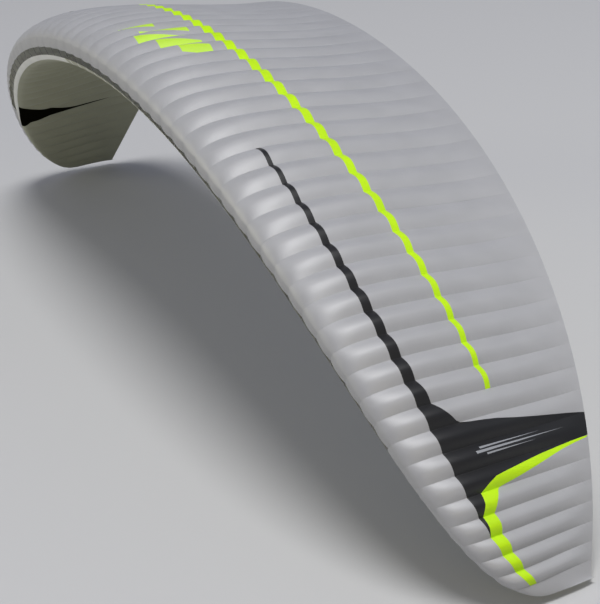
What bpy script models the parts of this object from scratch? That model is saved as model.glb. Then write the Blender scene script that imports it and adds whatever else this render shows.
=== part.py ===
"""Paraglider wing, inflated and arched as it flies, modelled panel by panel.

+X is the flying direction, +Y points to the pilot's left and +Z is up. The origin is on the
lower skin at the centre seam, just over a third of the chord behind the nose, where the load acts.

The wing is laid out on two numbers. The cell number is 0 at the centre seam and 31 at a tip,
negative to the right, and whole numbers are seams. The chord share is 0 at the nose and 1 at
the trailing edge, positive along the upper skin and negative along the lower one. Each panel is
a flat grid on those two numbers, made as thick as the cloth and shaped by the wing's formulas.
"""
import functools
import math

import bmesh
import bpy
from mathutils import Vector

# Planform, laid flat (metres)
HALF_SPAN = 5.9
ROOT_CHORD = 2.16
TIP_CHORD = 0.352
CHORD_POWER = 2.85
CHORD_ROUNDING = 0.628
TIP_SWEEP = 1.05
SWEEP_POWER = 3.5
SWEEP_ROUNDING = 0.492

# Arch seen from the front, and washout at the tip (radians)
ARCH_LINEAR = 0.763
ARCH_CUBIC = 0.494
ARCH_STEPS = 60
TIP_TWIST = 0.049
TWIST_CENTRE = 0.3

# Cells
CELLS = 31
LAST_RIB = 30
NARROWING = 0.52

# Profile, as shares of the chord
UPPER_DEPTH = 0.156
UPPER_FLATTENING = 0.072
UPPER_REFLEX = 0.255
LOWER_DEPTH = 0.113
LOWER_NOSE_LENGTH = 0.097
LOWER_NOSE_ROUNDING = 4.2
LOWER_TAIL_POWER = 1.5
DROOP = 0.064
DROOP_START = 0.35
DROOP_POWER = 1.88

# How far a cell stands up along its middle, as shares of its width
UPPER_SWELL = 0.15
LOWER_SWELL = 0.08
SWELL_RAMP = 0.3
SWELL_FADE_START = 0.25

# Cloth (metres)
SHEET = 0.002
TRAIL_HALF_GAP = 0.0023
SEAM_GAP = 0.0006

# Mouths of the cells, along the nose of the lower skin
MOUTH_TOP_SHARE = -0.0028
LIP_FRONT_SHARE = -0.0125
LIP_REAR_SHARE = -0.0279
TIP_FRONT_SHARE = -0.0198
OUTER_MOUTH = 22
STRIP_CURVES = 6
LIP_NARROWS = 21
LIP_END = 24
LOWER_END = 22.75
WEB_HALF_WIDTH = 0.04

# Edges of the panels, each a table of (cell number, chord share)
MOUTH_TOP = ((0, MOUTH_TOP_SHARE), (OUTER_MOUTH, MOUTH_TOP_SHARE),
             (OUTER_MOUTH + 0.02, LIP_FRONT_SHARE), (LIP_END, LIP_FRONT_SHARE),
             (LAST_RIB, TIP_FRONT_SHARE), (CELLS, TIP_FRONT_SHARE))
LIP_FRONT = ((0, LIP_FRONT_SHARE), (LIP_END, LIP_FRONT_SHARE), (LAST_RIB, TIP_FRONT_SHARE),
             (CELLS, TIP_FRONT_SHARE))
LIP_REAR = ((0, LIP_REAR_SHARE), (LIP_NARROWS, LIP_REAR_SHARE), (22, -0.0254), (23, -0.0185),
            (LIP_END, LIP_FRONT_SHARE))
WEDGE_REAR = ((LIP_NARROWS, LIP_REAR_SHARE), (21.5, -0.141), (22, -0.239), (22.5, -0.424),
              (LOWER_END, -0.692), (22.85, -0.385), (23, -0.225), (23.25, -0.0835),
              (23.5, -0.058), (LIP_END, LIP_FRONT_SHARE), (LAST_RIB, TIP_FRONT_SHARE),
              (CELLS, TIP_FRONT_SHARE))
NOSE_REAR = ((0, 0.180), (9, 0.181), (21, 0.178), (27, 0.175), (30, 0.165))
INNER_REAR = ((0, 0.180), (8.99, 0.181), (9, 0.197), (12, 0.203), (15, 0.211), (18, 0.220),
              (20, 0.230), (21, 0.245), (21.5, 0.279), (22, 0.333), (22.5, 0.645), (23, 1.0))
DARK_TIP_REAR = ((24, 1.0), (24.25, 0.605), (24.5, 0.376), (24.75, 0.313), (25, 0.264),
                 (25.5, 0.240), (26, 0.204), (26.5, 0.192), (27, 0.175), (30, 0.165))
DARK_REAR = INNER_REAR + DARK_TIP_REAR
LIME_TIP_REAR = ((24, 1.0), (24.25, 0.832), (24.5, 0.692), (24.75, 0.546), (25, 0.380),
                 (25.5, 0.322), (26, 0.283), (26.5, 0.273), (27, 0.262), (30, 0.250))
TRAIL_UPPER = ((0, 1.0), (CELLS, 1.0))
TRAIL_LOWER = ((0, -1.0), (CELLS, -1.0))
STRIPE_END = 21

# The bands that cross the wing are sewn from sections of cells: (name, first seam, last seam)
CENTRE_SECTIONS = (("centre", 0, 5), ("inner", 5, 13))
UPPER_SECTIONS = CENTRE_SECTIONS + (("middle", 13, STRIPE_END),)
NOSE_SECTIONS = UPPER_SECTIONS + (("outer", STRIPE_END, LAST_RIB),)
LOWER_SECTIONS = CENTRE_SECTIONS + (("middle", 13, LOWER_END),)
LIP_SECTIONS = (("centre", 0, 2), ("near", 2, 7), ("inner", 7, 13), ("middle", 13, LIP_END))

# The stripe along the middle sweeps back and narrows towards the tips
STRIPE_CENTRE = 0.419
STRIPE_SWEEP = 0.203
STRIPE_WIDTH = 0.039
STRIPE_TAPER = 0.016

# A panel that runs to a point ends this far short of it, in cells
POINT = 0.02

LOWER_ROWS = 2
SIDES = (("left", 1), ("right", -1))

# Colour, roughness
CLOTHS = {
    "grey": ((0.42, 0.42, 0.42), 0.55),
    "lime": ((0.47, 0.90, 0.03), 0.55),
    "black": ((0.02, 0.02, 0.02), 0.5),
    "white": ((0.78, 0.78, 0.74), 0.5),
}


def between(low, high, share):
    return low + (high - low) * share


def edge(table):
    """The signed root of the chord share along a table's edge, as a function of the cell."""
    def root_at(cell):
        value = table[-1][1]
        for (start, low), (end, high) in zip(table, table[1:]):
            if cell <= end:
                value = between(low, high, max(0.0, (cell - start) / (end - start)))
                break
        return math.copysign(math.sqrt(abs(value)), value)
    return root_at


def station(cell):
    """Share of the flat half span at a cell number. The cells narrow towards the tip."""
    share = cell / CELLS
    return (share - NARROWING * share ** 3 / 3) / (1 - NARROWING / 3)


def cell_width(cell):
    inner = min(math.floor(cell), CELLS - 1)
    return (station(inner + 1) - station(inner)) * HALF_SPAN


def chord(t):
    return TIP_CHORD + (ROOT_CHORD - TIP_CHORD) * (1 - t ** CHORD_POWER) ** CHORD_ROUNDING


def nose_sweep(t):
    return TIP_SWEEP * (1 - (1 - t ** SWEEP_POWER) ** SWEEP_ROUNDING)


def arch_angle(t):
    return ARCH_LINEAR * t + ARCH_CUBIC * t ** 3


@functools.lru_cache(maxsize=None)
def arch_place(t):
    """How far out and how far down the arch has run at a station."""
    angles = [arch_angle((i + 0.5) / ARCH_STEPS * t) for i in range(ARCH_STEPS)]
    run = t * HALF_SPAN / ARCH_STEPS
    return run * sum(map(math.cos, angles)), -run * sum(map(math.sin, angles))


def stripe_edge(side):
    """Front (-1) or rear (1) edge of the stripe along the middle."""
    def root_at(cell):
        t = station(cell)
        half = 0.5 * (STRIPE_WIDTH - STRIPE_TAPER * t)
        return math.sqrt(STRIPE_CENTRE + STRIPE_SWEEP * t * t + side * half)
    return root_at


def droop(root):
    """How far both skins hang down behind DROOP_START, as a share of the chord."""
    return DROOP * max(0.0, (root * root - DROOP_START) / (1 - DROOP_START)) ** DROOP_POWER


def profile_height(root):
    """Height of the profile over the chord line, as a share of the chord."""
    v = root * root
    if root >= 0:
        body = (0.2969 * root - 0.1260 * v - 0.3516 * v ** 2 + 0.2843 * v ** 3 - 0.1036 * v ** 4)
        return UPPER_DEPTH * 5 * body - (UPPER_FLATTENING + UPPER_REFLEX * v) * v * (1 - v)
    if v < LOWER_NOSE_LENGTH:
        return -LOWER_DEPTH * math.sqrt(1 - (1 - v / LOWER_NOSE_LENGTH) ** LOWER_NOSE_ROUNDING)
    tail = min(1.0, (v - LOWER_NOSE_LENGTH) / (1 - LOWER_NOSE_LENGTH))
    return -LOWER_DEPTH * (1 - tail ** LOWER_TAIL_POWER)


def closing(cell):
    """The last cell closes round, from full depth at its seam to nothing at the tip."""
    share = max(0.0, cell - LAST_RIB)
    return math.sqrt(max(0.0, 1 - share * share))


def smooth_point(cell, root):
    """A point of the wing's outer face without the swelling of its cells."""
    t = min(1.0, station(cell))
    length = chord(t)
    above = (profile_height(root) * closing(cell) - droop(root)) * length
    above += TRAIL_HALF_GAP * math.tanh(8 * root)
    behind = (root * root - TWIST_CENTRE) * length
    twist = TIP_TWIST * t * t
    back = nose_sweep(t) + TWIST_CENTRE * length + behind * math.cos(twist) + above * math.sin(twist)
    lift = above * math.cos(twist) - behind * math.sin(twist)
    out, drop = arch_place(t)
    angle = arch_angle(t)
    return Vector((-back, out + lift * math.sin(angle), drop + lift * math.cos(angle)))


def outward(cell, root):
    """Direction square to the wing's outer face, away from its inside."""
    step = 0.01
    along = smooth_point(min(cell + step, CELLS), root) - smooth_point(max(cell - step, 0), root)
    across = smooth_point(cell, min(root + step, 1)) - smooth_point(cell, max(root - step, -1))
    if cell < step:
        along = Vector((0, 1, 0))
    return along.cross(across).normalized()


def swell(cell, root):
    """How far a cell stands up at this place. It is nothing at the seams and at the mouths."""
    if cell >= LAST_RIB:
        return 0.0
    start = MOUTH_TOP_SHARE if root > -0.1 else LIP_REAR_SHARE
    beyond = abs(root + math.sqrt(-start)) / SWELL_RAMP
    ramp = min(1.0, beyond)
    fade = min(1.0, (1 - root * root) / (1 - SWELL_FADE_START))
    ridge = 1 - abs(2 * (cell % 1) - 1)
    full = UPPER_SWELL if root > -0.1 else LOWER_SWELL
    return cell_width(cell) * full * ramp * fade * ridge


LOAD_ROOT = between(-math.sqrt(-LIP_REAR_SHARE), -1, 1 / LOWER_ROWS)
ORIGIN = smooth_point(0, LOAD_ROOT)


def wing_point(cell, root, depth=0.0):
    """Where a point of the cloth lies in the air, this deep below the outer face."""
    near = abs(cell)
    place = smooth_point(near, root) - ORIGIN
    place += (swell(near, root) - depth) * outward(near, root)
    if cell < 0:
        place.y = -place.y
    return place


def seam_inset(root_at, cell):
    """Half the gap of a seam along this edge, in root units."""
    step = 0.005
    root = root_at(cell)
    length = (smooth_point(cell, root + step * 0.5) - smooth_point(cell, root - step * 0.5)).length
    per_root = length / step
    turn = max(abs(root_at(cell + step) - root), abs(root - root_at(max(0, cell - step)))) / step
    slope = turn * per_root / cell_width(cell)
    return 0.5 * SEAM_GAP * math.hypot(1, slope) / per_root


def column_stops(start, end, tables):
    """Cell numbers of a panel's columns: each seam, each middle and each row of its tables."""
    halves = [i / 2 for i in range(math.ceil(2 * start), math.floor(2 * end) + 1)]
    rows = [row[0] for table in tables for row in table if start < row[0] < end]
    return sorted({start, end, *halves, *rows})


UPPER_TABLES = (MOUTH_TOP, INNER_REAR, DARK_TIP_REAR, LIME_TIP_REAR)
LOWER_TABLES = (LIP_REAR, WEDGE_REAR, ((LIP_NARROWS + POINT, 0), (LIP_END - POINT, 0)))


def flat_sheet(cells, roots):
    """A flat grid with its columns at the cell numbers and its rows at the roots."""
    bm = bmesh.new()
    columns = len(cells) - 1
    rows = len(roots(0)) - 1
    bmesh.ops.create_grid(bm, x_segments=columns, y_segments=rows, size=1)
    for vert in bm.verts:
        column = round((vert.co.x + 1) / 2 * columns)
        row = round((vert.co.y + 1) / 2 * rows)
        vert.co = (cells[column], roots(column)[row], 0)
    return bm


def thicken_and_shape(bm):
    """Give the flat sheet its thickness, then move it to its place on the wing. Depth counts
    inwards there, which turns the faces over, so they are turned back."""
    result = bmesh.ops.extrude_face_region(bm, geom=bm.faces[:], use_keep_orig=True)
    for item in result["geom"]:
        if isinstance(item, bmesh.types.BMVert):
            item.co.z = 1
    bmesh.ops.recalc_face_normals(bm, faces=bm.faces)
    for vert in bm.verts:
        vert.co = wing_point(vert.co.x, vert.co.y, vert.co.z * SHEET)
    bmesh.ops.reverse_faces(bm, faces=bm.faces)


def make_material(name, cloth):
    colour, roughness = CLOTHS[cloth]
    material = bpy.data.materials.new(name)
    material.use_nodes = True
    shader = material.node_tree.nodes["Principled BSDF"]
    shader.inputs["Base Color"].default_value = (*colour, 1)
    shader.inputs["Roughness"].default_value = roughness
    shader.inputs["Metallic"].default_value = 0
    material.diffuse_color = (*colour, 1)
    return material


def add_object(name, bm, cloth):
    mesh = bpy.data.meshes.new(name)
    bm.to_mesh(mesh)
    bm.free()
    mesh.materials.append(make_material(name + "_cloth", cloth))
    thing = bpy.data.objects.new(name, mesh)
    wing.objects.link(thing)
    return thing


def section_cells(stops, start, end, side):
    """The columns' cell numbers, drawn in by half a seam gap at the section's two ends. side is
    1 on the left half, -1 on the right half and 0 for a section across the centre."""
    inset = 0.5 * SEAM_GAP / cell_width(end - POINT)
    stops = sorted(stops)
    if end < CELLS:
        stops[-1] = end - inset
    if side:
        stops[0] = start + inset
        return [side * stop for stop in stops]
    return [-stop for stop in reversed(stops) if stop > 0] + stops


def panel(name, cloth, start, end, front, rear, rows, tables, side=0):
    """A panel from one cell number to another, between two edges."""
    cells = section_cells(column_stops(start, end, tables), start, end, side)
    heading = 1 if rear(start + POINT) > front(start + POINT) else -1

    def roots(column):
        cell = abs(cells[column])
        low = front(cell) + heading * seam_inset(front, cell)
        high = rear(cell) - heading * seam_inset(rear, cell)
        return [between(low, high, row / rows) for row in range(rows + 1)]

    bm = flat_sheet(cells, roots)
    thicken_and_shape(bm)
    add_object(name, bm, cloth)


def lip_section(name, cloth, start, end, side=0):
    """The lip below the mouths of the cells, with a web at each seam up to the nose panel."""
    last_web = OUTER_MOUTH - 0.5 * SEAM_GAP / cell_width(OUTER_MOUTH)
    stops = {rib + step for rib in range(LIP_END) for step in (-WEB_HALF_WIDTH, WEB_HALF_WIDTH)}
    stops |= {rib + 0.5 for rib in range(STRIP_CURVES, LIP_NARROWS)}
    stops |= {last_web, *column_stops(LIP_NARROWS, LIP_END - 2 * POINT, LOWER_TABLES)}
    stops -= {OUTER_MOUTH + WEB_HALF_WIDTH}
    finish = min(end, LIP_END - 2 * POINT)
    stops = {start, finish, *(stop for stop in stops if start < stop < finish)}
    cells = section_cells(stops, start, finish, side)
    top = edge(MOUTH_TOP)
    front = edge(LIP_FRONT)
    rear = edge(LIP_REAR)

    def roots(column):
        cell = abs(cells[column])
        inner = min(cell, last_web)
        return [top(inner) - seam_inset(top, max(0, inner - POINT)),
                front(cell) - seam_inset(front, cell),
                rear(cell) + seam_inset(rear, cell)]

    bm = flat_sheet(cells, roots)
    openings = []
    for face in bm.faces:
        middle = face.calc_center_median()
        off_web = abs(middle.x - round(middle.x)) > WEB_HALF_WIDTH or abs(middle.x) > OUTER_MOUTH
        if off_web and middle.y > front(0):
            openings.append(face)
    bmesh.ops.delete(bm, geom=openings, context="FACES")
    thicken_and_shape(bm)
    add_object(name, bm, cloth)


def sewn_band(name, sections, make):
    """Make a band section by section: one across the centre, the others on both halves."""
    for section, start, end in sections:
        if start == 0:
            make(name + "_" + section, start, end, 0)
        else:
            for label, side in SIDES:
                make(name + "_" + label + "_" + section, start, end, side)


def panel_band(name, cloth, sections, front, rear, rows, tables):
    def make(label, start, end, side):
        panel(label, cloth, start, end, front, rear, rows, tables, side)
    sewn_band(name, sections, make)


for old in list(bpy.data.objects):
    bpy.data.objects.remove(old, do_unlink=True)
wing = bpy.data.collections.new("paraglider_wing")
bpy.context.scene.collection.children.link(wing)

panel_band("nose_upper", "grey", NOSE_SECTIONS, edge(MOUTH_TOP), edge(NOSE_REAR), 3,
           UPPER_TABLES + (WEDGE_REAR[-4:],))
panel_band("mid_upper", "grey", UPPER_SECTIONS, edge(INNER_REAR), stripe_edge(-1), 1,
           UPPER_TABLES)
panel_band("stripe_upper", "lime", UPPER_SECTIONS, stripe_edge(-1), stripe_edge(1), 1,
           UPPER_TABLES)
panel_band("aft_upper", "grey", UPPER_SECTIONS, stripe_edge(1), edge(TRAIL_UPPER), 2,
           UPPER_TABLES)
panel_band("lower", "grey", LOWER_SECTIONS, edge(LIP_REAR[:2] + WEDGE_REAR[1:]),
           edge(TRAIL_LOWER), LOWER_ROWS, LOWER_TABLES)
sewn_band("lip", LIP_SECTIONS,
          lambda name, start, end, side: lip_section(name, "white", start, end, side))
for label, side in SIDES:
    panel("outer_upper_" + label, "grey", STRIPE_END, 23 - POINT, edge(INNER_REAR),
          edge(TRAIL_UPPER), 2, UPPER_TABLES, side)
    panel("dark_upper_" + label, "black", 9, 27 - POINT, edge(NOSE_REAR), edge(DARK_REAR), 2,
          UPPER_TABLES, side)
    panel("lime_tip_" + label, "lime", 24 + POINT, LAST_RIB, edge(DARK_TIP_REAR),
          edge(LIME_TIP_REAR), 2, UPPER_TABLES, side)
    panel("tip_upper_" + label, "grey", 24 + POINT, LAST_RIB, edge(LIME_TIP_REAR),
          edge(TRAIL_UPPER), 2, UPPER_TABLES, side)
    panel("tip_cell_" + label, "grey", LAST_RIB, CELLS, edge(LIP_FRONT), edge(TRAIL_UPPER), 6,
          (((30.87, 0),),), side)
    panel("dark_lower_" + label, "black", 21 + POINT, LIP_END - POINT, edge(LIP_REAR),
          edge(WEDGE_REAR), 1, LOWER_TABLES, side)
    panel("lower_outer_" + label, "grey", LOWER_END, CELLS, edge(WEDGE_REAR), edge(TRAIL_LOWER),
          LOWER_ROWS, LOWER_TABLES + (((30.87, 0),),), side)
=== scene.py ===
"""Looks of the paraglider wing: the finely billowed cloth of each panel, its finish, and the studio.

The wing is laid out on two numbers. The cell number is 0 at the centre seam and 31 at a tip,
negative to the right, and whole numbers are seams. The chord share is 0 at the nose and 1 at
the trailing edge, positive along the upper skin and negative along the lower one. A root is the
share's square root with the same sign, which spreads the rows of a panel well round the nose.
"""

import math

import bmesh
import bpy
import numpy as np
from mathutils import Matrix, Vector


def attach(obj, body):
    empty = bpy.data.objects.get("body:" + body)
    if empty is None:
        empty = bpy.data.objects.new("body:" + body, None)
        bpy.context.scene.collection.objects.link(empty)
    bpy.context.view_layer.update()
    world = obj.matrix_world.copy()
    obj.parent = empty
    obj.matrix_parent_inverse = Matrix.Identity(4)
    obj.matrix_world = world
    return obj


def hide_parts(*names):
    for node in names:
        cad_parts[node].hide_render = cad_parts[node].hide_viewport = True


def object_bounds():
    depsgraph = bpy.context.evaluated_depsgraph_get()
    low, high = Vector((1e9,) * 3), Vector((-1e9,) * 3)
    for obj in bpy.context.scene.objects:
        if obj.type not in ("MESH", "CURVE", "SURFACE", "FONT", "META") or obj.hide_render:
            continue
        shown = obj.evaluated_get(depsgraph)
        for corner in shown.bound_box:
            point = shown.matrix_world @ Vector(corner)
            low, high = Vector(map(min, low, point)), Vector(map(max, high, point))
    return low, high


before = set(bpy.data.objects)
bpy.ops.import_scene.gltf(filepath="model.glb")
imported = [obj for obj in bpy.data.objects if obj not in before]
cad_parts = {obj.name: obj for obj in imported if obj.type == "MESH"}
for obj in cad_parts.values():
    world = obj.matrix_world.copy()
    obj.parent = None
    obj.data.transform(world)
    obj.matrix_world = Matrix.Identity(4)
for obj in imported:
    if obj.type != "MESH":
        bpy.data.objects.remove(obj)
cad_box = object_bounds()

# Planform, laid flat (metres)
HALF_SPAN = 5.9
ROOT_CHORD = 2.16
TIP_CHORD = 0.352
CHORD_POWER = 2.85
CHORD_ROUNDING = 0.628
TIP_SWEEP = 1.05
SWEEP_POWER = 3.5
SWEEP_ROUNDING = 0.492

# Arch seen from the front, and washout at the tip (radians)
ARCH_LINEAR = 0.763
ARCH_CUBIC = 0.494
ARCH_STEPS = 60
TIP_TWIST = 0.049
TWIST_CENTRE = 0.3

# Cells
CELLS = 31
LAST_RIB = 30
NARROWING = 0.52

# Profile, as shares of the chord
UPPER_DEPTH = 0.156
UPPER_FLATTENING = 0.072
UPPER_REFLEX = 0.255
LOWER_DEPTH = 0.113
LOWER_NOSE_LENGTH = 0.097
LOWER_NOSE_ROUNDING = 4.2
LOWER_TAIL_POWER = 1.5
DROOP = 0.064
DROOP_START = 0.35
DROOP_POWER = 1.88

# Half the space between the skins' outer faces towards the trailing edge and where they are sewn,
# the chord share where the sewn hem starts, and how fast the space grows from the nose
TRAIL_HALF_GAP = 0.0023
TRAIL_SEWN_GAP = 0.0011
TRAIL_HEM_SHARE = 0.97
TRAIL_GAP_RISE = 8

# How far a cell stands up along its middle, as a share of its width: where it starts and how
# fast it rises there, both in root, how far it falls off behind, and how late it dies out
SWELL_FIELDS = ("peak", "start", "ramp", "fall", "tail_power")
UPPER_SWELL = dict(zip(SWELL_FIELDS, (0.175, -0.053, 0.7, -0.3, 4.3)))
LOWER_SWELL = dict(zip(SWELL_FIELDS, (0.15, 0.167, 0.2, 0.1, 6)))
# The slimmer cells towards the tips stand up more, and all stand up most just behind the nose
SWELL_GROWTH = 1.2
CENTRE_GROWTH = 0.08
CENTRE_REACH = 7
BULGE_PEAK = 0.09
BULGE_GROWTH = 0.2
BULGE_MIDDLE = 0.39
BULGE_REACH = 0.264
BULGE_RAMP = 0.12
# The upper skin's front edge overhangs the mouths
BROW_PEAK = 0.05
BROW_REACH = 0.06
# Root below which the lower skin's swell holds
LOWER_SWELL_END = -0.1

# Cloth (metres)
SHEET = 0.0009
SEAM_GAP = 0.0003

# How deep a seam is drawn in, how far from it (metres), and the swell where it is drawn in fully
SEAM_SINK = 0.0016
SINK_REACH = 0.004
FULL_SINK_SWELL = 0.06
# Half the share of a cell's width over which its dome rounds into a seam
SEAM_ROUNDING = 0.045

# Mouths of the cells, along the nose of the lower skin
MOUTH_TOP_SHARE = -0.0028
NOSE_ROOT = -math.sqrt(-MOUTH_TOP_SHARE)
LIP_FRONT_SHARE = -0.0125
LIP_REAR_SHARE = -0.0279
TIP_FRONT_SHARE = -0.0198
OUTER_MOUTH = 22
LIP_NARROWS = 21
LIP_END = 24
LOWER_END = 22.75
WEB_HALF_WIDTH = 0.04
WEB_BLEND = 0.0008

# Cells where the coloured panels start and end
STRIPE_END = 21
DARK_START = 9
OUTER_UPPER_END = 23
LIME_START = 24
DARK_END = 27

# Rows of the finely modelled cloth
NOSE_ROWS = 26
MID_ROWS = 9
STRIPE_ROWS = 3
AFT_ROWS = 16
FIELD_ROWS = 24
LOWER_ROWS = 22
LIP_ROWS = 5
MOUTH_ROWS = 3

# Edges of the panels, each a table of (cell number, chord share)
MOUTH_TOP = ((0, MOUTH_TOP_SHARE), (OUTER_MOUTH, MOUTH_TOP_SHARE),
             (OUTER_MOUTH + 0.02, LIP_FRONT_SHARE), (LIP_END, LIP_FRONT_SHARE),
             (LAST_RIB, TIP_FRONT_SHARE), (CELLS, TIP_FRONT_SHARE))
LIP_FRONT = ((0, LIP_FRONT_SHARE), (LIP_END, LIP_FRONT_SHARE), (LAST_RIB, TIP_FRONT_SHARE),
             (CELLS, TIP_FRONT_SHARE))
LIP_REAR = ((0, LIP_REAR_SHARE), (LIP_NARROWS, LIP_REAR_SHARE), (22, -0.0254), (23, -0.0185),
            (LIP_END, LIP_FRONT_SHARE))
WEDGE_REAR = ((LIP_NARROWS, LIP_REAR_SHARE), (21.3, -0.094), (21.5, -0.141), (21.75, -0.19),
              (22, -0.239), (22.2, -0.298), (22.4, -0.365), (22.5, -0.424), (22.6, -0.56),
              (LOWER_END, -0.692), (22.8, -0.48), (22.85, -0.345), (22.95, -0.24), (23, -0.225),
              (23.1, -0.172), (23.25, -0.079), (23.5, -0.058), (LIP_END, LIP_FRONT_SHARE),
              (LAST_RIB, TIP_FRONT_SHARE), (CELLS, TIP_FRONT_SHARE))
NOSE_REAR = ((0, 0.180), (9, 0.181), (15, 0.180), (21, 0.178), (27, 0.175), (30, 0.165))
INNER_REAR = ((0, 0.180), (8.99, 0.181), (9, 0.197), (12, 0.203), (15, 0.211), (18, 0.220),
              (20, 0.230), (21, 0.245), (21.5, 0.279), (21.9, 0.314), (22, 0.333), (22.1, 0.39),
              (22.2, 0.49), (22.4, 0.59), (22.55, 0.69), (22.7, 0.81), (22.85, 0.92), (23, 1.0))
DARK_TIP_REAR = ((24, 1.0), (24.04, 0.89), (24.15, 0.71), (24.25, 0.605), (24.35, 0.51),
                 (24.45, 0.41), (24.5, 0.376), (24.7, 0.323), (25, 0.264), (25.5, 0.240),
                 (26, 0.204), (26.5, 0.192), (27, 0.175), (30, 0.165))
DARK_REAR = INNER_REAR + DARK_TIP_REAR
LIME_TIP_REAR = ((24, 1.0), (24.1, 0.99), (24.2, 0.865), (24.4, 0.755), (24.6, 0.645),
                 (24.75, 0.555), (24.85, 0.49), (24.95, 0.41), (25, 0.38), (25.1, 0.363),
                 (25.5, 0.322), (26, 0.283), (26.5, 0.273), (27, 0.262), (30, 0.250))
TRAIL_UPPER = ((0, 1.0), (CELLS, 1.0))
TRAIL_LOWER = ((0, -1.0), (CELLS, -1.0))

# The stripe along the middle sweeps back and narrows towards the tips
STRIPE_CENTRE = 0.419
STRIPE_SWEEP = 0.203
STRIPE_WIDTH = 0.039
STRIPE_TAPER = 0.016

# A panel that runs to a point ends this far short of it, in cells
POINT = 0.02
TOLERANCE = 1e-6

# Length of cloth that each unit of root adds at the nose, as a share of the chord
NOSE_RUN = 0.16

# Columns of a cell, closest at its seams, as shares of its width
FOLDS = (0.0, 0.012, 0.04, 0.09, 0.16, 0.25, 0.33, 0.42, 0.5, 0.58, 0.67, 0.75, 0.84, 0.91, 0.96,
         0.988)

# Colours (linear) and the ink of the prints
GREY = (0.362, 0.363, 0.372)
LIME = (0.52, 0.86, 0.0)
BLACK = (0.0085, 0.0085, 0.009)
WHITE = (0.68, 0.68, 0.63)
STREAK_GREY = (0.30, 0.31, 0.33)
# painted shade: the lower skin's grey is darkened and tinted olive for the shade under the wing; the
# centre cells' lip takes it too
SHADED_UNDER_GREY = (0.335, 0.335, 0.235)
# painted shade: the lower skin's black is a darker, duller copy of the upper black, for the shade under
# the wing
SHADED_UNDER_BLACK = (0.004, 0.004, 0.002)
# painted light: the inner faces are paler than the cloth, for the light inside the cells
LIT_INSIDE_GREY = (0.61, 0.61, 0.555)
# painted shade: the webs between the mouths are inked dark, for the shaded sides of the ribs inside
WEB_SHADE_GREY = (0.06, 0.06, 0.055)
FLOOR_GREY = (0.55, 0.55, 0.55)
FLOOR_ROUGHNESS = 0.9

# The lip is grey up to this cell, but for a white end this wide on each side of a seam (cells)
WHITE_LIP_START = 5.6
WHITE_END_HALF_WIDTH = 0.07

# Light that the thin cloth lets through, and how far it spreads in it (metres)
GLOW = 0.2
INSIDE_GLOW = 1.0
GLOW_REACH = 0.003
CLOTH_IOR = 1.8

# Small relief of the cloth (metres)
THREAD_SPACING = 0.006
THREAD_SHARE = 0.12
THREAD_HEIGHT = 0.00006
PUCKER_REACH = 0.05
PUCKER_HEIGHT = 0.0022
STITCH_INSET = 0.004
STITCH_REACH = 0.0012
GROOVE_DEPTH = 0.0004
SLACK_HEIGHT = 0.004
# Waves of the puckers and of the slack for each metre across and along the cloth
PUCKER_WAVES = (3.0, 26.0)
SLACK_WAVES = (5.0, 3.5)
# Colour of the cloth where it lies low and high, as shares of its own: painted shade, darker where the
# slack lies low
SLACK_SHADES = (0.97, 1.03)
SLACK_SHADE_RANGE = (0.3, 0.7)

# Print at the middle of the upper skin: slanted bars (middle in cells, front and rear end)
MOTIF_FRONT = 0.137
MOTIF_REAR = 0.347
MOTIF_SLANT = 0.55
MOTIF_HALF_WIDTH = 0.26
MOTIF_BARS = ((-1.55, 0.0, 0.55), (-0.75, 0.22, 1.0), (0.05, 0.0, 0.78), (0.85, 0.22, 1.0),
              (1.6, 0.45, 1.0))

# Pale streaks on the dark field: (cell, half width in cells, front and rear chord share)
STREAKS = ((23.2, 0.045, 0.36, 0.72), (23.36, 0.06, 0.33, 0.86), (23.52, 0.04, 0.38, 0.68))

FLOOR_HALF_SIZE = 60
FLOOR_CLEARANCE = 0.05

# Camera: a long lens ahead of the left tip, its place and the directions to its right and back
LENS = 123.81
LENS_SHIFT = (-0.0032, 0.0115)
CAMERA_PLACE = (5.3563, 15.1666, 5.4013)
CAMERA_RIGHT = (-0.9045, 0.4136, -0.1039)
CAMERA_BACK = (0.3344, 0.8392, 0.4289)

# Studio lights: (name, place, colour, watts), each turned towards the frame's origin
LIGHT_SIZE = 16.0
LIGHTS = (("overhead", (1.4, 13.1, 37.8), (1.0, 1.0, 1.0), 12200),
          ("front", (33.0, -22.6, 6.0), (1.0, 0.96, 0.73), 3680),
          ("left", (2.5, 38.0, 11.7), (1.0, 0.82, 0.35), 1240),
          ("rear", (-39.5, 0.3, 6.0), (0.925, 0.997, 1.0), 2430))
AIR_COLOUR = (0.752, 0.788, 1.0)
AIR_STRENGTH = 0.28

# The bands that cross the wing are sewn from sections of cells: (name, first seam, last seam)
CENTRE_SECTIONS = (("centre", 0, 5), ("inner", 5, 13))
UPPER_SECTIONS = CENTRE_SECTIONS + (("middle", 13, STRIPE_END),)
NOSE_SECTIONS = UPPER_SECTIONS + (("outer", STRIPE_END, LAST_RIB),)
LOWER_SECTIONS = CENTRE_SECTIONS + (("middle", 13, LOWER_END),)
LIP_SECTIONS = (("centre", 0, 2), ("near", 2, 7), ("inner", 7, 13), ("middle", 13, LIP_END))
SIDES = (("left", 1), ("right", -1))


def curve(table):
    """A table's second column as a function of its first."""
    xs, ys = np.array(table).T
    return lambda x: np.interp(x, xs, ys)


def signed_root(share):
    return np.sign(share) * np.sqrt(np.abs(share))


def edge(table):
    """The signed root of the chord share along a table's edge, as a function of the cell."""
    share = curve(table)
    return lambda cell: signed_root(share(cell))


def station(cell):
    """Share of the flat half span at a cell number. The cells narrow towards the tip."""
    share = cell / CELLS
    return (share - NARROWING * share ** 3 / 3) / (1 - NARROWING / 3)


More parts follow.
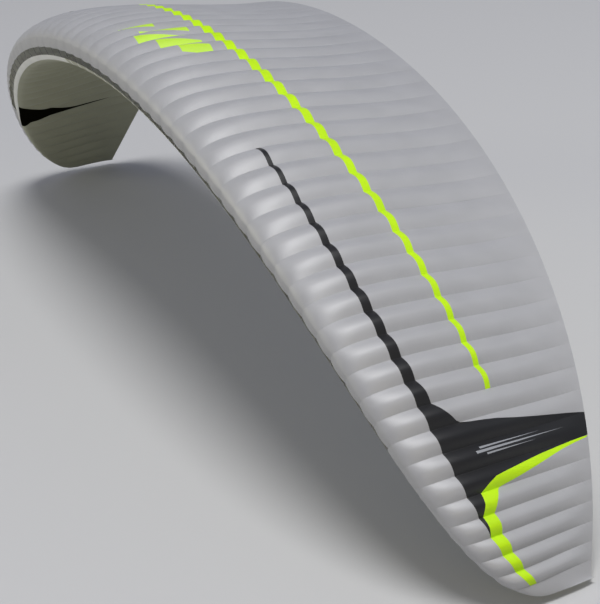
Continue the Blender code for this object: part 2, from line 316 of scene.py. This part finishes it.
def cell_width(cell):
    inner = np.minimum(np.floor(cell), CELLS - 1)
    return (station(inner + 1) - station(inner)) * HALF_SPAN


def chord(t):
    return TIP_CHORD + (ROOT_CHORD - TIP_CHORD) * (1 - t ** CHORD_POWER) ** CHORD_ROUNDING


def nose_sweep(t):
    return TIP_SWEEP * (1 - (1 - t ** SWEEP_POWER) ** SWEEP_ROUNDING)


def arch_angle(t):
    return ARCH_LINEAR * t + ARCH_CUBIC * t ** 3


def arch_place(t):
    """How far out and how far down the arch has run at a station."""
    out, drop = np.zeros_like(t), np.zeros_like(t)
    run = t * HALF_SPAN / ARCH_STEPS
    for step in range(ARCH_STEPS):
        angle = arch_angle((step + 0.5) / ARCH_STEPS * t)
        out += run * np.cos(angle)
        drop -= run * np.sin(angle)
    return out, drop


def stripe_edge(side):
    """Front (-1) or rear (1) edge of the stripe along the middle."""
    def root_at(cell):
        t = station(cell)
        half = 0.5 * (STRIPE_WIDTH - STRIPE_TAPER * t)
        return np.sqrt(STRIPE_CENTRE + STRIPE_SWEEP * t * t + side * half)
    return root_at


def profile_height(root):
    """Height of the profile over the chord line, as a share of the chord. The upper skin starts
    from the half thickness of the classic four-digit section, with UPPER_DEPTH for its thickness."""
    v = root * root
    body = 0.2969 * root - 0.1260 * v - 0.3516 * v ** 2 + 0.2843 * v ** 3 - 0.1036 * v ** 4
    upper = UPPER_DEPTH * 5 * body - (UPPER_FLATTENING + UPPER_REFLEX * v) * v * (1 - v)
    nose = np.clip(1 - v / LOWER_NOSE_LENGTH, 0, 1)
    tail = np.clip((v - LOWER_NOSE_LENGTH) / (1 - LOWER_NOSE_LENGTH), 0, 1)
    lower = np.where(v < LOWER_NOSE_LENGTH, np.sqrt(1 - nose ** LOWER_NOSE_ROUNDING),
                     1 - tail ** LOWER_TAIL_POWER)
    return np.where(root >= 0, upper, -LOWER_DEPTH * lower)


def droop(root):
    """How far both skins hang down behind DROOP_START, as a share of the chord."""
    aft = np.maximum(0.0, (root * root - DROOP_START) / (1 - DROOP_START))
    return DROOP * aft ** DROOP_POWER


def closing(cell):
    """The last cell closes round, from full depth at its seam to nothing at the tip."""
    share = np.maximum(0.0, cell - LAST_RIB)
    return np.sqrt(np.maximum(0.0, 1 - share * share))


def smooth_place(cell, root):
    """Places of the wing's outer face without the swelling of its cells, as x, y, z rows."""
    t = np.minimum(1.0, station(cell))
    length = chord(t)
    above = (profile_height(root) * closing(cell) - droop(root)) * length
    hem = np.clip((root * root - TRAIL_HEM_SHARE) / (1 - TRAIL_HEM_SHARE), 0, 1)
    half_gap = TRAIL_HALF_GAP + (TRAIL_SEWN_GAP - TRAIL_HALF_GAP) * hem
    above = above + half_gap * np.tanh(TRAIL_GAP_RISE * root)
    behind = (root * root - TWIST_CENTRE) * length
    twist = TIP_TWIST * t * t
    back = nose_sweep(t) + TWIST_CENTRE * length
    back = back + behind * np.cos(twist) + above * np.sin(twist)
    lift = above * np.cos(twist) - behind * np.sin(twist)
    out, drop = arch_place(t)
    angle = arch_angle(t)
    return np.stack([-back, out + lift * np.sin(angle), drop + lift * np.cos(angle)], axis=-1)


def outward(cell, root):
    """Directions square to the wing's outer face, away from its inside."""
    step = 0.01
    along = smooth_place(np.minimum(cell + step, CELLS), root)
    along = along - smooth_place(np.maximum(cell - step, 0), root)
    across = smooth_place(cell, np.minimum(root + step, 1))
    across = across - smooth_place(cell, np.maximum(root - step, -1))
    along = np.where((cell < step)[..., None], (0.0, 1.0, 0.0), along)
    square = np.cross(along, across)
    return square / np.linalg.norm(square, axis=-1, keepdims=True)


def swell_height(root, peak, start, ramp, fall, tail_power):
    """How far the middle of a cell stands up at a root, as a share of the cell's width."""
    rise = 1 - np.exp(-(np.maximum(0, root - start) / ramp) ** 2)
    return peak * rise * (1 - fall * root) * (1 - np.abs(root) ** tail_power)


def upper_swell(cell, root):
    """Swell of the upper skin: it grows with the cell's number, with a bulge near the nose."""
    outer = (np.floor(cell) / LAST_RIB) ** 3
    inner = CENTRE_GROWTH * np.exp(-((np.floor(cell) + 0.5) / CENTRE_REACH) ** 2)
    rise = 1 - np.exp(-(np.maximum(0, root - UPPER_SWELL["start"]) / BULGE_RAMP) ** 2)
    bulge = BULGE_PEAK * rise * np.exp(-((root - BULGE_MIDDLE) / BULGE_REACH) ** 2)
    brow = BROW_PEAK * np.exp(-((root - NOSE_ROOT) / BROW_REACH) ** 2)
    return ((1 + inner + SWELL_GROWTH * outer) * swell_height(root, **UPPER_SWELL)
            + (1 + inner + BULGE_GROWTH * outer) * bulge + brow * (root >= NOSE_ROOT - POINT))


def swell(cell, root):
    """How far a cell stands up at this place. The seams are drawn in a little."""
    share = cell % 1
    off_seam = np.hypot(np.minimum(share, 1 - share), SEAM_ROUNDING) - SEAM_ROUNDING
    dome = 4 * off_seam * (1 - off_seam)
    full = np.where(root > LOWER_SWELL_END, upper_swell(cell, root), swell_height(-root, **LOWER_SWELL))
    sink = SEAM_SINK * np.exp(-np.minimum(share, 1 - share) * cell_width(cell) / SINK_REACH)
    sink = sink * np.clip(full / FULL_SINK_SWELL, 0, 1)
    return np.where(cell >= LAST_RIB, 0.0, cell_width(cell) * full * dome - sink)


# Where the load acts: on the lower skin, halfway in root from the lip to the trailing edge
LOAD_ROOT = -0.5 * (math.sqrt(-LIP_REAR_SHARE) + 1)
ORIGIN = smooth_place(np.array(0.0), np.array(LOAD_ROOT))


def wing_place(cell, root):
    """Where a place of the cloth's outer face lies in the frame."""
    near = np.abs(cell)
    place = smooth_place(near, root) - ORIGIN
    place = place + swell(near, root)[..., None] * outward(near, root)
    place[..., 1] = np.where(cell < 0, -place[..., 1], place[..., 1])
    return place


def seam_inset(root_at, cell):
    """Half the gap of a seam along this edge, in root units."""
    step = 0.005
    root = root_at(cell)
    run = smooth_place(cell, root + 0.5 * step) - smooth_place(cell, root - 0.5 * step)
    per_root = np.linalg.norm(run, axis=-1) / step
    turn = np.maximum(np.abs(root_at(cell + step) - root),
                      np.abs(root - root_at(np.maximum(0, cell - step)))) / step
    slope = turn * per_root / cell_width(cell)
    return 0.5 * SEAM_GAP * np.hypot(1, slope) / per_root


def section_cells(start, end, side):
    """The columns' cell numbers between two of them, drawn in by half a seam gap at the ends.
    side is 1 on the left half, -1 on the right half and 0 for a section across the centre."""
    inset = 0.5 * SEAM_GAP / cell_width(end - POINT)
    stops = [rib + fold for rib in range(math.floor(start), math.ceil(end)) for fold in FOLDS]
    stops = [stop for stop in stops if start + inset < stop < end - inset]
    finish = end - inset if end < CELLS else end
    if side == 0:
        return np.array([-finish, *(-stop for stop in reversed(stops)), 0.0, *stops, finish])
    return side * np.array([start + inset, *stops, finish])[::side]


def cloth_mesh(name, cells, levels):
    """A flat grid of cloth, with the cell number and the root of each of its places. levels
    holds a row of roots for each row of the grid, one for each column."""
    bm = bmesh.new()
    columns = len(cells) - 1
    rows = len(levels) - 1
    bmesh.ops.create_grid(bm, x_segments=columns, y_segments=rows, size=1)
    mesh = bpy.data.meshes.new(name)
    bm.to_mesh(mesh)
    bm.free()
    flat = np.empty(3 * len(mesh.vertices))
    mesh.vertices.foreach_get("co", flat)
    column, row = np.rint((flat.reshape(-1, 3)[:, :2].T + 1) / 2 * [[columns], [rows]]).astype(int)
    return mesh, cells[column], levels[row, column]


def between(low, high, rows):
    """Rows of roots from one edge to the other, evenly spaced."""
    return low + (high - low) * np.linspace(0, 1, rows + 1)[:, None]


def cut_out(mesh, cell, root, is_open):
    """Take out the faces whose middle lies in an opening. Returns the places that are left."""
    bm = bmesh.new()
    bm.from_mesh(mesh)
    kept = bm.verts.layers.int.new("kept")
    for vert in bm.verts:
        vert[kept] = vert.index
    gone = []
    for face in bm.faces:
        corners = [vert.index for vert in face.verts]
        if is_open(cell[corners].mean(), root[corners].mean()):
            gone.append(face)
    bmesh.ops.delete(bm, geom=gone, context="FACES")
    left = np.array([vert[kept] for vert in bm.verts])
    bm.verts.layers.int.remove(kept)
    bm.to_mesh(mesh)
    bm.free()
    return cell[left], root[left]


def per_loop(mesh, first, second):
    """Two numbers for each vertex as the flat list of a UV layer."""
    corner = np.empty(len(mesh.loops), dtype=int)
    mesh.loops.foreach_get("vertex_index", corner)
    return np.stack([first[corner], second[corner]], axis=-1).ravel()


def lay_uv(mesh, name, first, second):
    layer = mesh.uv_layers.new(name=name)
    layer.data.foreach_set("uv", per_loop(mesh, first, second))


def run_back(cell, root):
    """Length along the cloth from the nose, in metres, near enough for a pattern."""
    share = root * root
    return np.sign(root) * chord(station(np.abs(cell))) * np.hypot(share, NOSE_RUN * np.abs(root))


def dress(name, mesh, cell, root, edges, finish):
    """Shape a flat grid on the wing, lay out its patterns, and make it a sheet of cloth with thickness.
    """
    near = np.abs(cell)
    mesh.vertices.foreach_set("co", wing_place(cell, root).ravel())
    mesh.update()
    across = np.sign(cell) * station(near) * HALF_SPAN
    along = run_back(cell, root)
    share = near % 1
    rib = np.minimum(share, 1 - share) * cell_width(near)
    rim = np.minimum(*[np.abs(along - run_back(cell, edge_at(near))) for edge_at in edges])
    lay_uv(mesh, "cloth", across, along)
    lay_uv(mesh, "seams", rib, rim)
    lay_uv(mesh, "plan", cell, root * np.abs(root))
    crease_seams(mesh, cell)
    cloth = bpy.data.objects.new(name + "_cloth", mesh)
    bpy.context.scene.collection.objects.link(cloth)
    mesh.materials.append(FINISHES[finish])
    # the inner faces take the inside finish, which is paler as painted light
    mesh.materials.append(FINISHES["inside"])
    solid = cloth.modifiers.new("thickness", "SOLIDIFY")
    solid.thickness = SHEET
    solid.offset = -1
    solid.use_rim = True
    solid.material_offset = 1
    even = cloth.modifiers.new("shading", "WEIGHTED_NORMAL")
    even.mode = "FACE_AREA"
    even.keep_sharp = True
    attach(cloth, "root")
    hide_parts(name)


def crease_seams(mesh, cell):
    """Smooth shading, but with a crease along each rib seam."""
    ends = np.empty(2 * len(mesh.edges), dtype=int)
    mesh.edges.foreach_get("vertices", ends)
    ends = ends.reshape(-1, 2)
    on_seam = np.abs(cell - np.rint(cell)) < TOLERANCE
    sharp = on_seam[ends[:, 0]] & on_seam[ends[:, 1]]
    layer = mesh.attributes.new("sharp_edge", "BOOLEAN", "EDGE")
    layer.data.foreach_set("value", sharp)
    mesh.polygons.foreach_set("use_smooth", np.ones(len(mesh.polygons), dtype=bool))


def panel(name, finish, start, end, front, rear, rows, side=0):
    """A panel from one cell number to another, between two edges."""
    cells = section_cells(start, end, side)
    near = np.abs(cells)
    low, high = front(near), rear(near)
    if high.sum() < low.sum():
        low, high, front, rear = high, low, rear, front
    low = low + seam_inset(front, near)
    high = np.maximum(low, high - seam_inset(rear, near))
    mesh, cell, root = cloth_mesh(name + "_cloth", cells, between(low, high, rows))
    dress(name, mesh, cell, root, (front, rear), finish)


def lip_section(name, start, end, side=0):
    """The lip below the mouths of the cells, with a web at each seam up to the nose panel."""
    cells = section_cells(start, min(end, LIP_END - 2 * POINT), side)
    near = np.abs(cells)
    top, front, rear = edge(MOUTH_TOP), edge(LIP_FRONT), edge(LIP_REAR)
    low = rear(near) + seam_inset(rear, near)
    middle = front(near)
    high = top(near) - seam_inset(top, np.minimum(near, OUTER_MOUTH - POINT))
    levels = np.vstack([between(low, middle, LIP_ROWS), between(middle, high, MOUTH_ROWS)[1:]])
    mesh, cell, root = cloth_mesh(name + "_cloth", cells, levels)
    mouth = front(0.0) + TOLERANCE

    def is_open(at, height):
        off_web = abs(at - round(at)) > WEB_HALF_WIDTH or abs(at) > OUTER_MOUTH
        return off_web and height > mouth

    cell, root = cut_out(mesh, cell, root, is_open)
    dress(name, mesh, cell, root, (rear, top), "white")


def sewn_band(name, sections, make):
    """Make a band section by section: one across the centre, the others on both halves."""
    for section, start, end in sections:
        if start == 0:
            make(name + "_" + section, start, end, 0)
        else:
            for label, side in SIDES:
                make(name + "_" + label + "_" + section, start, end, side)


def panel_band(name, finish, sections, front, rear, rows):
    def make(label, start, end, side):
        panel(label, finish, start, end, front, rear, rows, side)
    sewn_band(name, sections, make)


class Shades:
    """Builds shader nodes. Numbers and sockets can both be given as inputs."""

    def __init__(self, tree):
        self.tree = tree

    def node(self, kind, values=(), **settings):
        made = self.tree.nodes.new(kind)
        for key, value in settings.items():
            setattr(made, key, value)
        for socket, value in dict(values).items():
            if isinstance(value, bpy.types.NodeSocket):
                self.tree.links.new(value, made.inputs[socket])
            else:
                made.inputs[socket].default_value = value
        return made

    def maths(self, operation, first, second=0.0, third=0.0, clamp=False):
        made = self.node("ShaderNodeMath", {0: first, 1: second, 2: third},
                         operation=operation, use_clamp=clamp)
        return made.outputs[0]

    def uv(self, layer):
        """The two numbers of a UV layer."""
        place = self.node("ShaderNodeUVMap", uv_map=layer).outputs[0]
        parts = self.node("ShaderNodeSeparateXYZ", {0: place}).outputs
        return parts[0], parts[1]

    def fade(self, value, start, end, low=1.0, high=0.0):
        """From low at start to high at end, and level beyond them."""
        made = self.node("ShaderNodeMapRange",
                         {0: value, 1: start, 2: end, 3: low, 4: high}, clamp=True)
        return made.outputs[0]

    def noise(self, x, y, detail=2.0):
        place = self.node("ShaderNodeCombineXYZ", {0: x, 1: y}).outputs[0]
        made = self.node("ShaderNodeTexNoise", {"Vector": place, "Scale": 1.0, "Detail": detail},
                         noise_dimensions="2D")
        return made.outputs[0]


def new_group(name, outputs):
    """An empty node group with outputs of the names given, and a builder for its nodes."""
    tree = bpy.data.node_groups.new(name, "ShaderNodeTree")
    for output in outputs:
        tree.interface.new_socket(output, in_out="OUTPUT", socket_type="NodeSocketFloat")
    shades = Shades(tree)
    ends = tree.nodes.new("NodeGroupOutput")
    return tree, shades, ends


def relief_group():
    """Height of the cloth's small relief in metres: ripstop threads, stitches along the seams, and the
    puckers that the stitches draw. slack_shade is painted shade: the colour a little darker where the
    slack lies low and lighter where it stands high."""
    tree, s, ends = new_group("cloth_relief", ("height", "slack_shade"))
    across, along = s.uv("cloth")
    rib, rim = s.uv("seams")

    # a thicker thread every few millimetres both ways
    threads = []
    for run in (across, along):
        phase = s.maths("PINGPONG", s.maths("MULTIPLY", run, 1 / THREAD_SPACING), 0.5)
        threads.append(s.fade(phase, 0.0, THREAD_SHARE))
    weave = s.maths("MULTIPLY", s.maths("MAXIMUM", *threads), THREAD_HEIGHT)

    # puckers run away from a seam and die out
    pucker = s.noise(*[s.maths("MULTIPLY", run, waves)
                       for run, waves in zip((across, along), PUCKER_WAVES)])
    near_rib = s.maths("POWER", s.fade(rib, 0.0, PUCKER_REACH), 2.0)
    drawn = s.maths("MULTIPLY", s.maths("MULTIPLY", s.maths("SUBTRACT", pucker, 0.5), near_rib),
                    PUCKER_HEIGHT)

    # a row of stitches lies in a shallow groove on each side of a seam, and along each edge
    grooves = []
    for off_seam in (rib, rim):
        off_row = s.maths("ABSOLUTE", s.maths("SUBTRACT", off_seam, STITCH_INSET))
        grooves.append(s.maths("MULTIPLY", s.fade(off_row, 0.0, STITCH_REACH), -GROOVE_DEPTH))

    # soft unevenness of cloth under light pressure
    slack = s.noise(*[s.maths("MULTIPLY", run, waves)
                      for run, waves in zip((across, along), SLACK_WAVES)], detail=1.0)
    soft = s.maths("MULTIPLY", s.maths("SUBTRACT", slack, 0.5), SLACK_HEIGHT)

    height = s.maths("ADD", s.maths("ADD", weave, drawn),
                     s.maths("ADD", s.maths("ADD", *grooves), soft))
    s.tree.links.new(height, ends.inputs["height"])
    # painted shade: the colour a little darker where the slack lies low and lighter where it stands
    # high
    slack_shade = s.fade(slack, *SLACK_SHADE_RANGE, *SLACK_SHADES)
    s.tree.links.new(slack_shade, ends.inputs["slack_shade"])
    return tree


def bar(s, across, along, middle, slant, half_width, low, high):
    """Mask of a slanted bar in a print's own coordinates."""
    shift = s.maths("MULTIPLY_ADD", s.maths("SUBTRACT", along, 0.5), slant, middle)
    inside = s.maths("LESS_THAN", s.maths("ABSOLUTE", s.maths("SUBTRACT", across, shift)),
                     half_width)
    above = s.maths("GREATER_THAN", along, low)
    below = s.maths("LESS_THAN", along, high)
    return s.maths("MULTIPLY", inside, s.maths("MULTIPLY", above, below))


def motif_group():
    """Mask of the plain geometric print of slanted bars at the middle of the upper skin."""
    tree, s, ends = new_group("centre_motif", ("mask",))
    across, share = s.uv("plan")
    along = s.fade(share, MOTIF_FRONT, MOTIF_REAR, 0.0, 1.0)
    mask = 0.0
    for middle, low, high in MOTIF_BARS:
        mask = s.maths("MAXIMUM", mask, bar(s, across, along, middle, MOTIF_SLANT,
                                            MOTIF_HALF_WIDTH, low, high))
    s.tree.links.new(mask, ends.inputs["mask"])
    return tree


def streak_group():
    """Mask of the thin pale bars that taper to the rear on the dark field near a tip."""
    tree, s, ends = new_group("tip_streaks", ("mask",))
    cell, share = s.uv("plan")
    near = s.maths("ABSOLUTE", cell)
    mask = 0.0
    for middle, half_width, front, rear in STREAKS:
        wide = s.fade(share, front, rear, half_width, 0.0)
        off = s.maths("ABSOLUTE", s.maths("SUBTRACT", near, middle))
        here = s.maths("MULTIPLY", s.maths("LESS_THAN", off, wide),
                       s.maths("GREATER_THAN", share, front))
        mask = s.maths("MAXIMUM", mask, here)
    s.tree.links.new(mask, ends.inputs["mask"])
    return tree


def web_group():
    """Mask of the webs that stand between the mouths of the cells, above the lip, which take a dark ink
    as painted shade.
    """
    tree, s, ends = new_group("mouth_webs", ("mask",))
    share = s.uv("plan")[1]
    mask = s.fade(share, LIP_FRONT_SHARE - WEB_BLEND, LIP_FRONT_SHARE + WEB_BLEND, 0.0, 1.0)
    s.tree.links.new(mask, ends.inputs["mask"])
    return tree


def lip_centre_group():
    """Mask of the centre cells' lip, which is grey but for a white end at each seam."""
    tree, s, ends = new_group("lip_centre", ("mask",))
    cell = s.uv("plan")[0]
    near = s.maths("ABSOLUTE", cell)
    off_seam = s.maths("PINGPONG", near, 0.5)
    mask = s.maths("MULTIPLY", s.maths("LESS_THAN", near, WHITE_LIP_START),
                   s.maths("GREATER_THAN", off_seam, WHITE_END_HALF_WIDTH))
    s.tree.links.new(mask, ends.inputs["mask"])
    return tree


def cloth_material(name, colour, roughness, gloss, glow, prints, relief):
    """Coated ripstop in one colour, with prints where groups give their masks."""
    material = bpy.data.materials.new(name)
    material.use_nodes = True
    s = Shades(material.node_tree)
    shader = material.node_tree.nodes["Principled BSDF"]
    worked = s.node("ShaderNodeGroup")
    worked.node_tree = relief
    base = s.node("ShaderNodeRGB").outputs[0]
    base.default_value = (*colour, 1)
    for print_group, ink in prints:
        printed = s.node("ShaderNodeGroup")
        printed.node_tree = print_group
        mix = s.node("ShaderNodeMix", {"Factor": printed.outputs[0]}, data_type="RGBA")
        s.tree.links.new(base, mix.inputs["A"])
        mix.inputs["B"].default_value = (*ink, 1)
        base = mix.outputs["Result"]
    # the slack's painted shade scales the colour
    tint = s.node("ShaderNodeHueSaturation", {"Color": base, "Value": worked.outputs["slack_shade"]})
    bump = s.node("ShaderNodeBump", {"Height": worked.outputs["height"], "Distance": 1.0})
    s.tree.links.new(tint.outputs[0], shader.inputs["Base Color"])
    s.tree.links.new(bump.outputs[0], shader.inputs["Normal"])
    shader.inputs["Roughness"].default_value = roughness
    shader.inputs["IOR"].default_value = CLOTH_IOR
    shader.inputs["Specular IOR Level"].default_value = gloss
    shader.inputs["Subsurface Weight"].default_value = glow
    shader.inputs["Subsurface Radius"].default_value = (1, 1, 1)
    shader.inputs["Subsurface Scale"].default_value = GLOW_REACH
    return material


relief = relief_group()

# Each finish: (material's name, colour, roughness, gloss, glow, prints as groups and inks)
FINISH_ROWS = {
    "grey": ("grey_cloth", GREY, 0.55, 0.8, GLOW, ((motif_group(), LIME),)),
    # the lower skin: the grey cloth with painted shade in its colour
    "under": ("grey_cloth_under", SHADED_UNDER_GREY, 0.6, 0.2, GLOW, ()),
    "lime": ("lime_cloth", LIME, 0.55, 0.18, GLOW, ()),
    "black": ("black_cloth", BLACK, 0.42, 0.25, 0.0, ((streak_group(), STREAK_GREY),)),
    # the lower skin's black panel, with painted shade in its colour
    "under_black": ("black_cloth_under", SHADED_UNDER_BLACK, 0.8, 0.0, 0.0, ()),
    # the centre cells' lip takes the lower skin's grey with its painted shade
    "white": ("white_cloth", WHITE, 0.58, 0.5, GLOW,
              # painted shade: the webs between the mouths are inked dark
              ((lip_centre_group(), SHADED_UNDER_GREY), (web_group(), WEB_SHADE_GREY))),
    # inner faces: the cloth made paler, as painted light inside the cells
    "inside": ("cloth_inside", LIT_INSIDE_GREY, 0.7, 0.2, INSIDE_GLOW, ()),
}
FINISHES = {finish: cloth_material(*row, relief) for finish, row in FINISH_ROWS.items()}

panel_band("nose_upper", "grey", NOSE_SECTIONS, edge(MOUTH_TOP), edge(NOSE_REAR), NOSE_ROWS)
panel_band("mid_upper", "grey", UPPER_SECTIONS, edge(INNER_REAR), stripe_edge(-1), MID_ROWS)
panel_band("stripe_upper", "lime", UPPER_SECTIONS, stripe_edge(-1), stripe_edge(1), STRIPE_ROWS)
panel_band("aft_upper", "grey", UPPER_SECTIONS, stripe_edge(1), edge(TRAIL_UPPER), AFT_ROWS)
panel_band("lower", "under", LOWER_SECTIONS, edge(LIP_REAR[:2] + WEDGE_REAR[1:]),
           edge(TRAIL_LOWER), LOWER_ROWS)
sewn_band("lip", LIP_SECTIONS, lip_section)
for label, side in SIDES:
    panel("outer_upper_" + label, "grey", STRIPE_END, OUTER_UPPER_END - POINT,
          edge(INNER_REAR), edge(TRAIL_UPPER), FIELD_ROWS, side)
    panel("dark_upper_" + label, "black", DARK_START, DARK_END - POINT, edge(NOSE_REAR),
          edge(DARK_REAR), FIELD_ROWS, side)
    panel("lime_tip_" + label, "lime", LIME_START + POINT, LAST_RIB, edge(DARK_TIP_REAR),
          edge(LIME_TIP_REAR), MID_ROWS, side)
    panel("tip_upper_" + label, "grey", LIME_START + POINT, LAST_RIB, edge(LIME_TIP_REAR),
          edge(TRAIL_UPPER), AFT_ROWS, side)
    panel("tip_cell_" + label, "grey", LAST_RIB, CELLS, edge(LIP_FRONT), edge(TRAIL_UPPER),
          NOSE_ROWS, side)
    panel("dark_lower_" + label, "under_black", LIP_NARROWS + POINT, LIP_END - POINT,
          edge(LIP_REAR), edge(WEDGE_REAR), LIP_ROWS, side)
    panel("lower_outer_" + label, "under", LOWER_END, CELLS, edge(WEDGE_REAR),
          edge(TRAIL_LOWER), FIELD_ROWS, side)


def area_light(name, place, colour, power):
    light = bpy.data.lights.new(name, "AREA")
    light.shape = "DISK"
    light.size = LIGHT_SIZE
    light.color = colour
    light.energy = power
    lamp = bpy.data.objects.new(name, light)
    bpy.context.scene.collection.objects.link(lamp)
    lamp.location = place
    lamp.rotation_mode = "QUATERNION"
    lamp.rotation_quaternion = (-Vector(place)).to_track_quat("-Z", "Y")


def studio():
    """A plain pale floor below the tips, large soft lights far off and pale air all round."""
    bm = bmesh.new()
    bmesh.ops.create_grid(bm, x_segments=1, y_segments=1, size=FLOOR_HALF_SIZE)
    floor_mesh = bpy.data.meshes.new("floor")
    bm.to_mesh(floor_mesh)
    bm.free()
    floor = bpy.data.objects.new("floor", floor_mesh)
    bpy.context.scene.collection.objects.link(floor)
    floor.location = (0, 0, cad_box[0].z - FLOOR_CLEARANCE)
    pale = bpy.data.materials.new("floor_pale")
    pale.use_nodes = True
    shader = pale.node_tree.nodes["Principled BSDF"]
    shader.inputs["Base Color"].default_value = (*FLOOR_GREY, 1)
    shader.inputs["Roughness"].default_value = FLOOR_ROUGHNESS
    floor_mesh.materials.append(pale)
    for light in LIGHTS:
        area_light(*light)
    world = bpy.data.worlds.new("studio_air")
    world.use_nodes = True
    air = world.node_tree.nodes["Background"]
    air.inputs["Color"].default_value = (*AIR_COLOUR, 1)
    air.inputs["Strength"].default_value = AIR_STRENGTH
    bpy.context.scene.world = world


def camera():
    """Looks down on the wing from ahead of its left tip."""
    lens = bpy.data.cameras.new("camera")
    lens.lens = LENS
    lens.shift_x, lens.shift_y = LENS_SHIFT
    eye = bpy.data.objects.new("camera", lens)
    bpy.context.scene.collection.objects.link(eye)
    right = Vector(CAMERA_RIGHT).normalized()
    back = Vector(CAMERA_BACK).normalized()
    up = back.cross(right)
    turn = Matrix((right, up, back)).transposed()
    eye.matrix_world = Matrix.LocRotScale(Vector(CAMERA_PLACE), turn, None)
    bpy.context.scene.camera = eye


studio()
camera()
bpy.context.scene.view_settings.view_transform = "Standard"
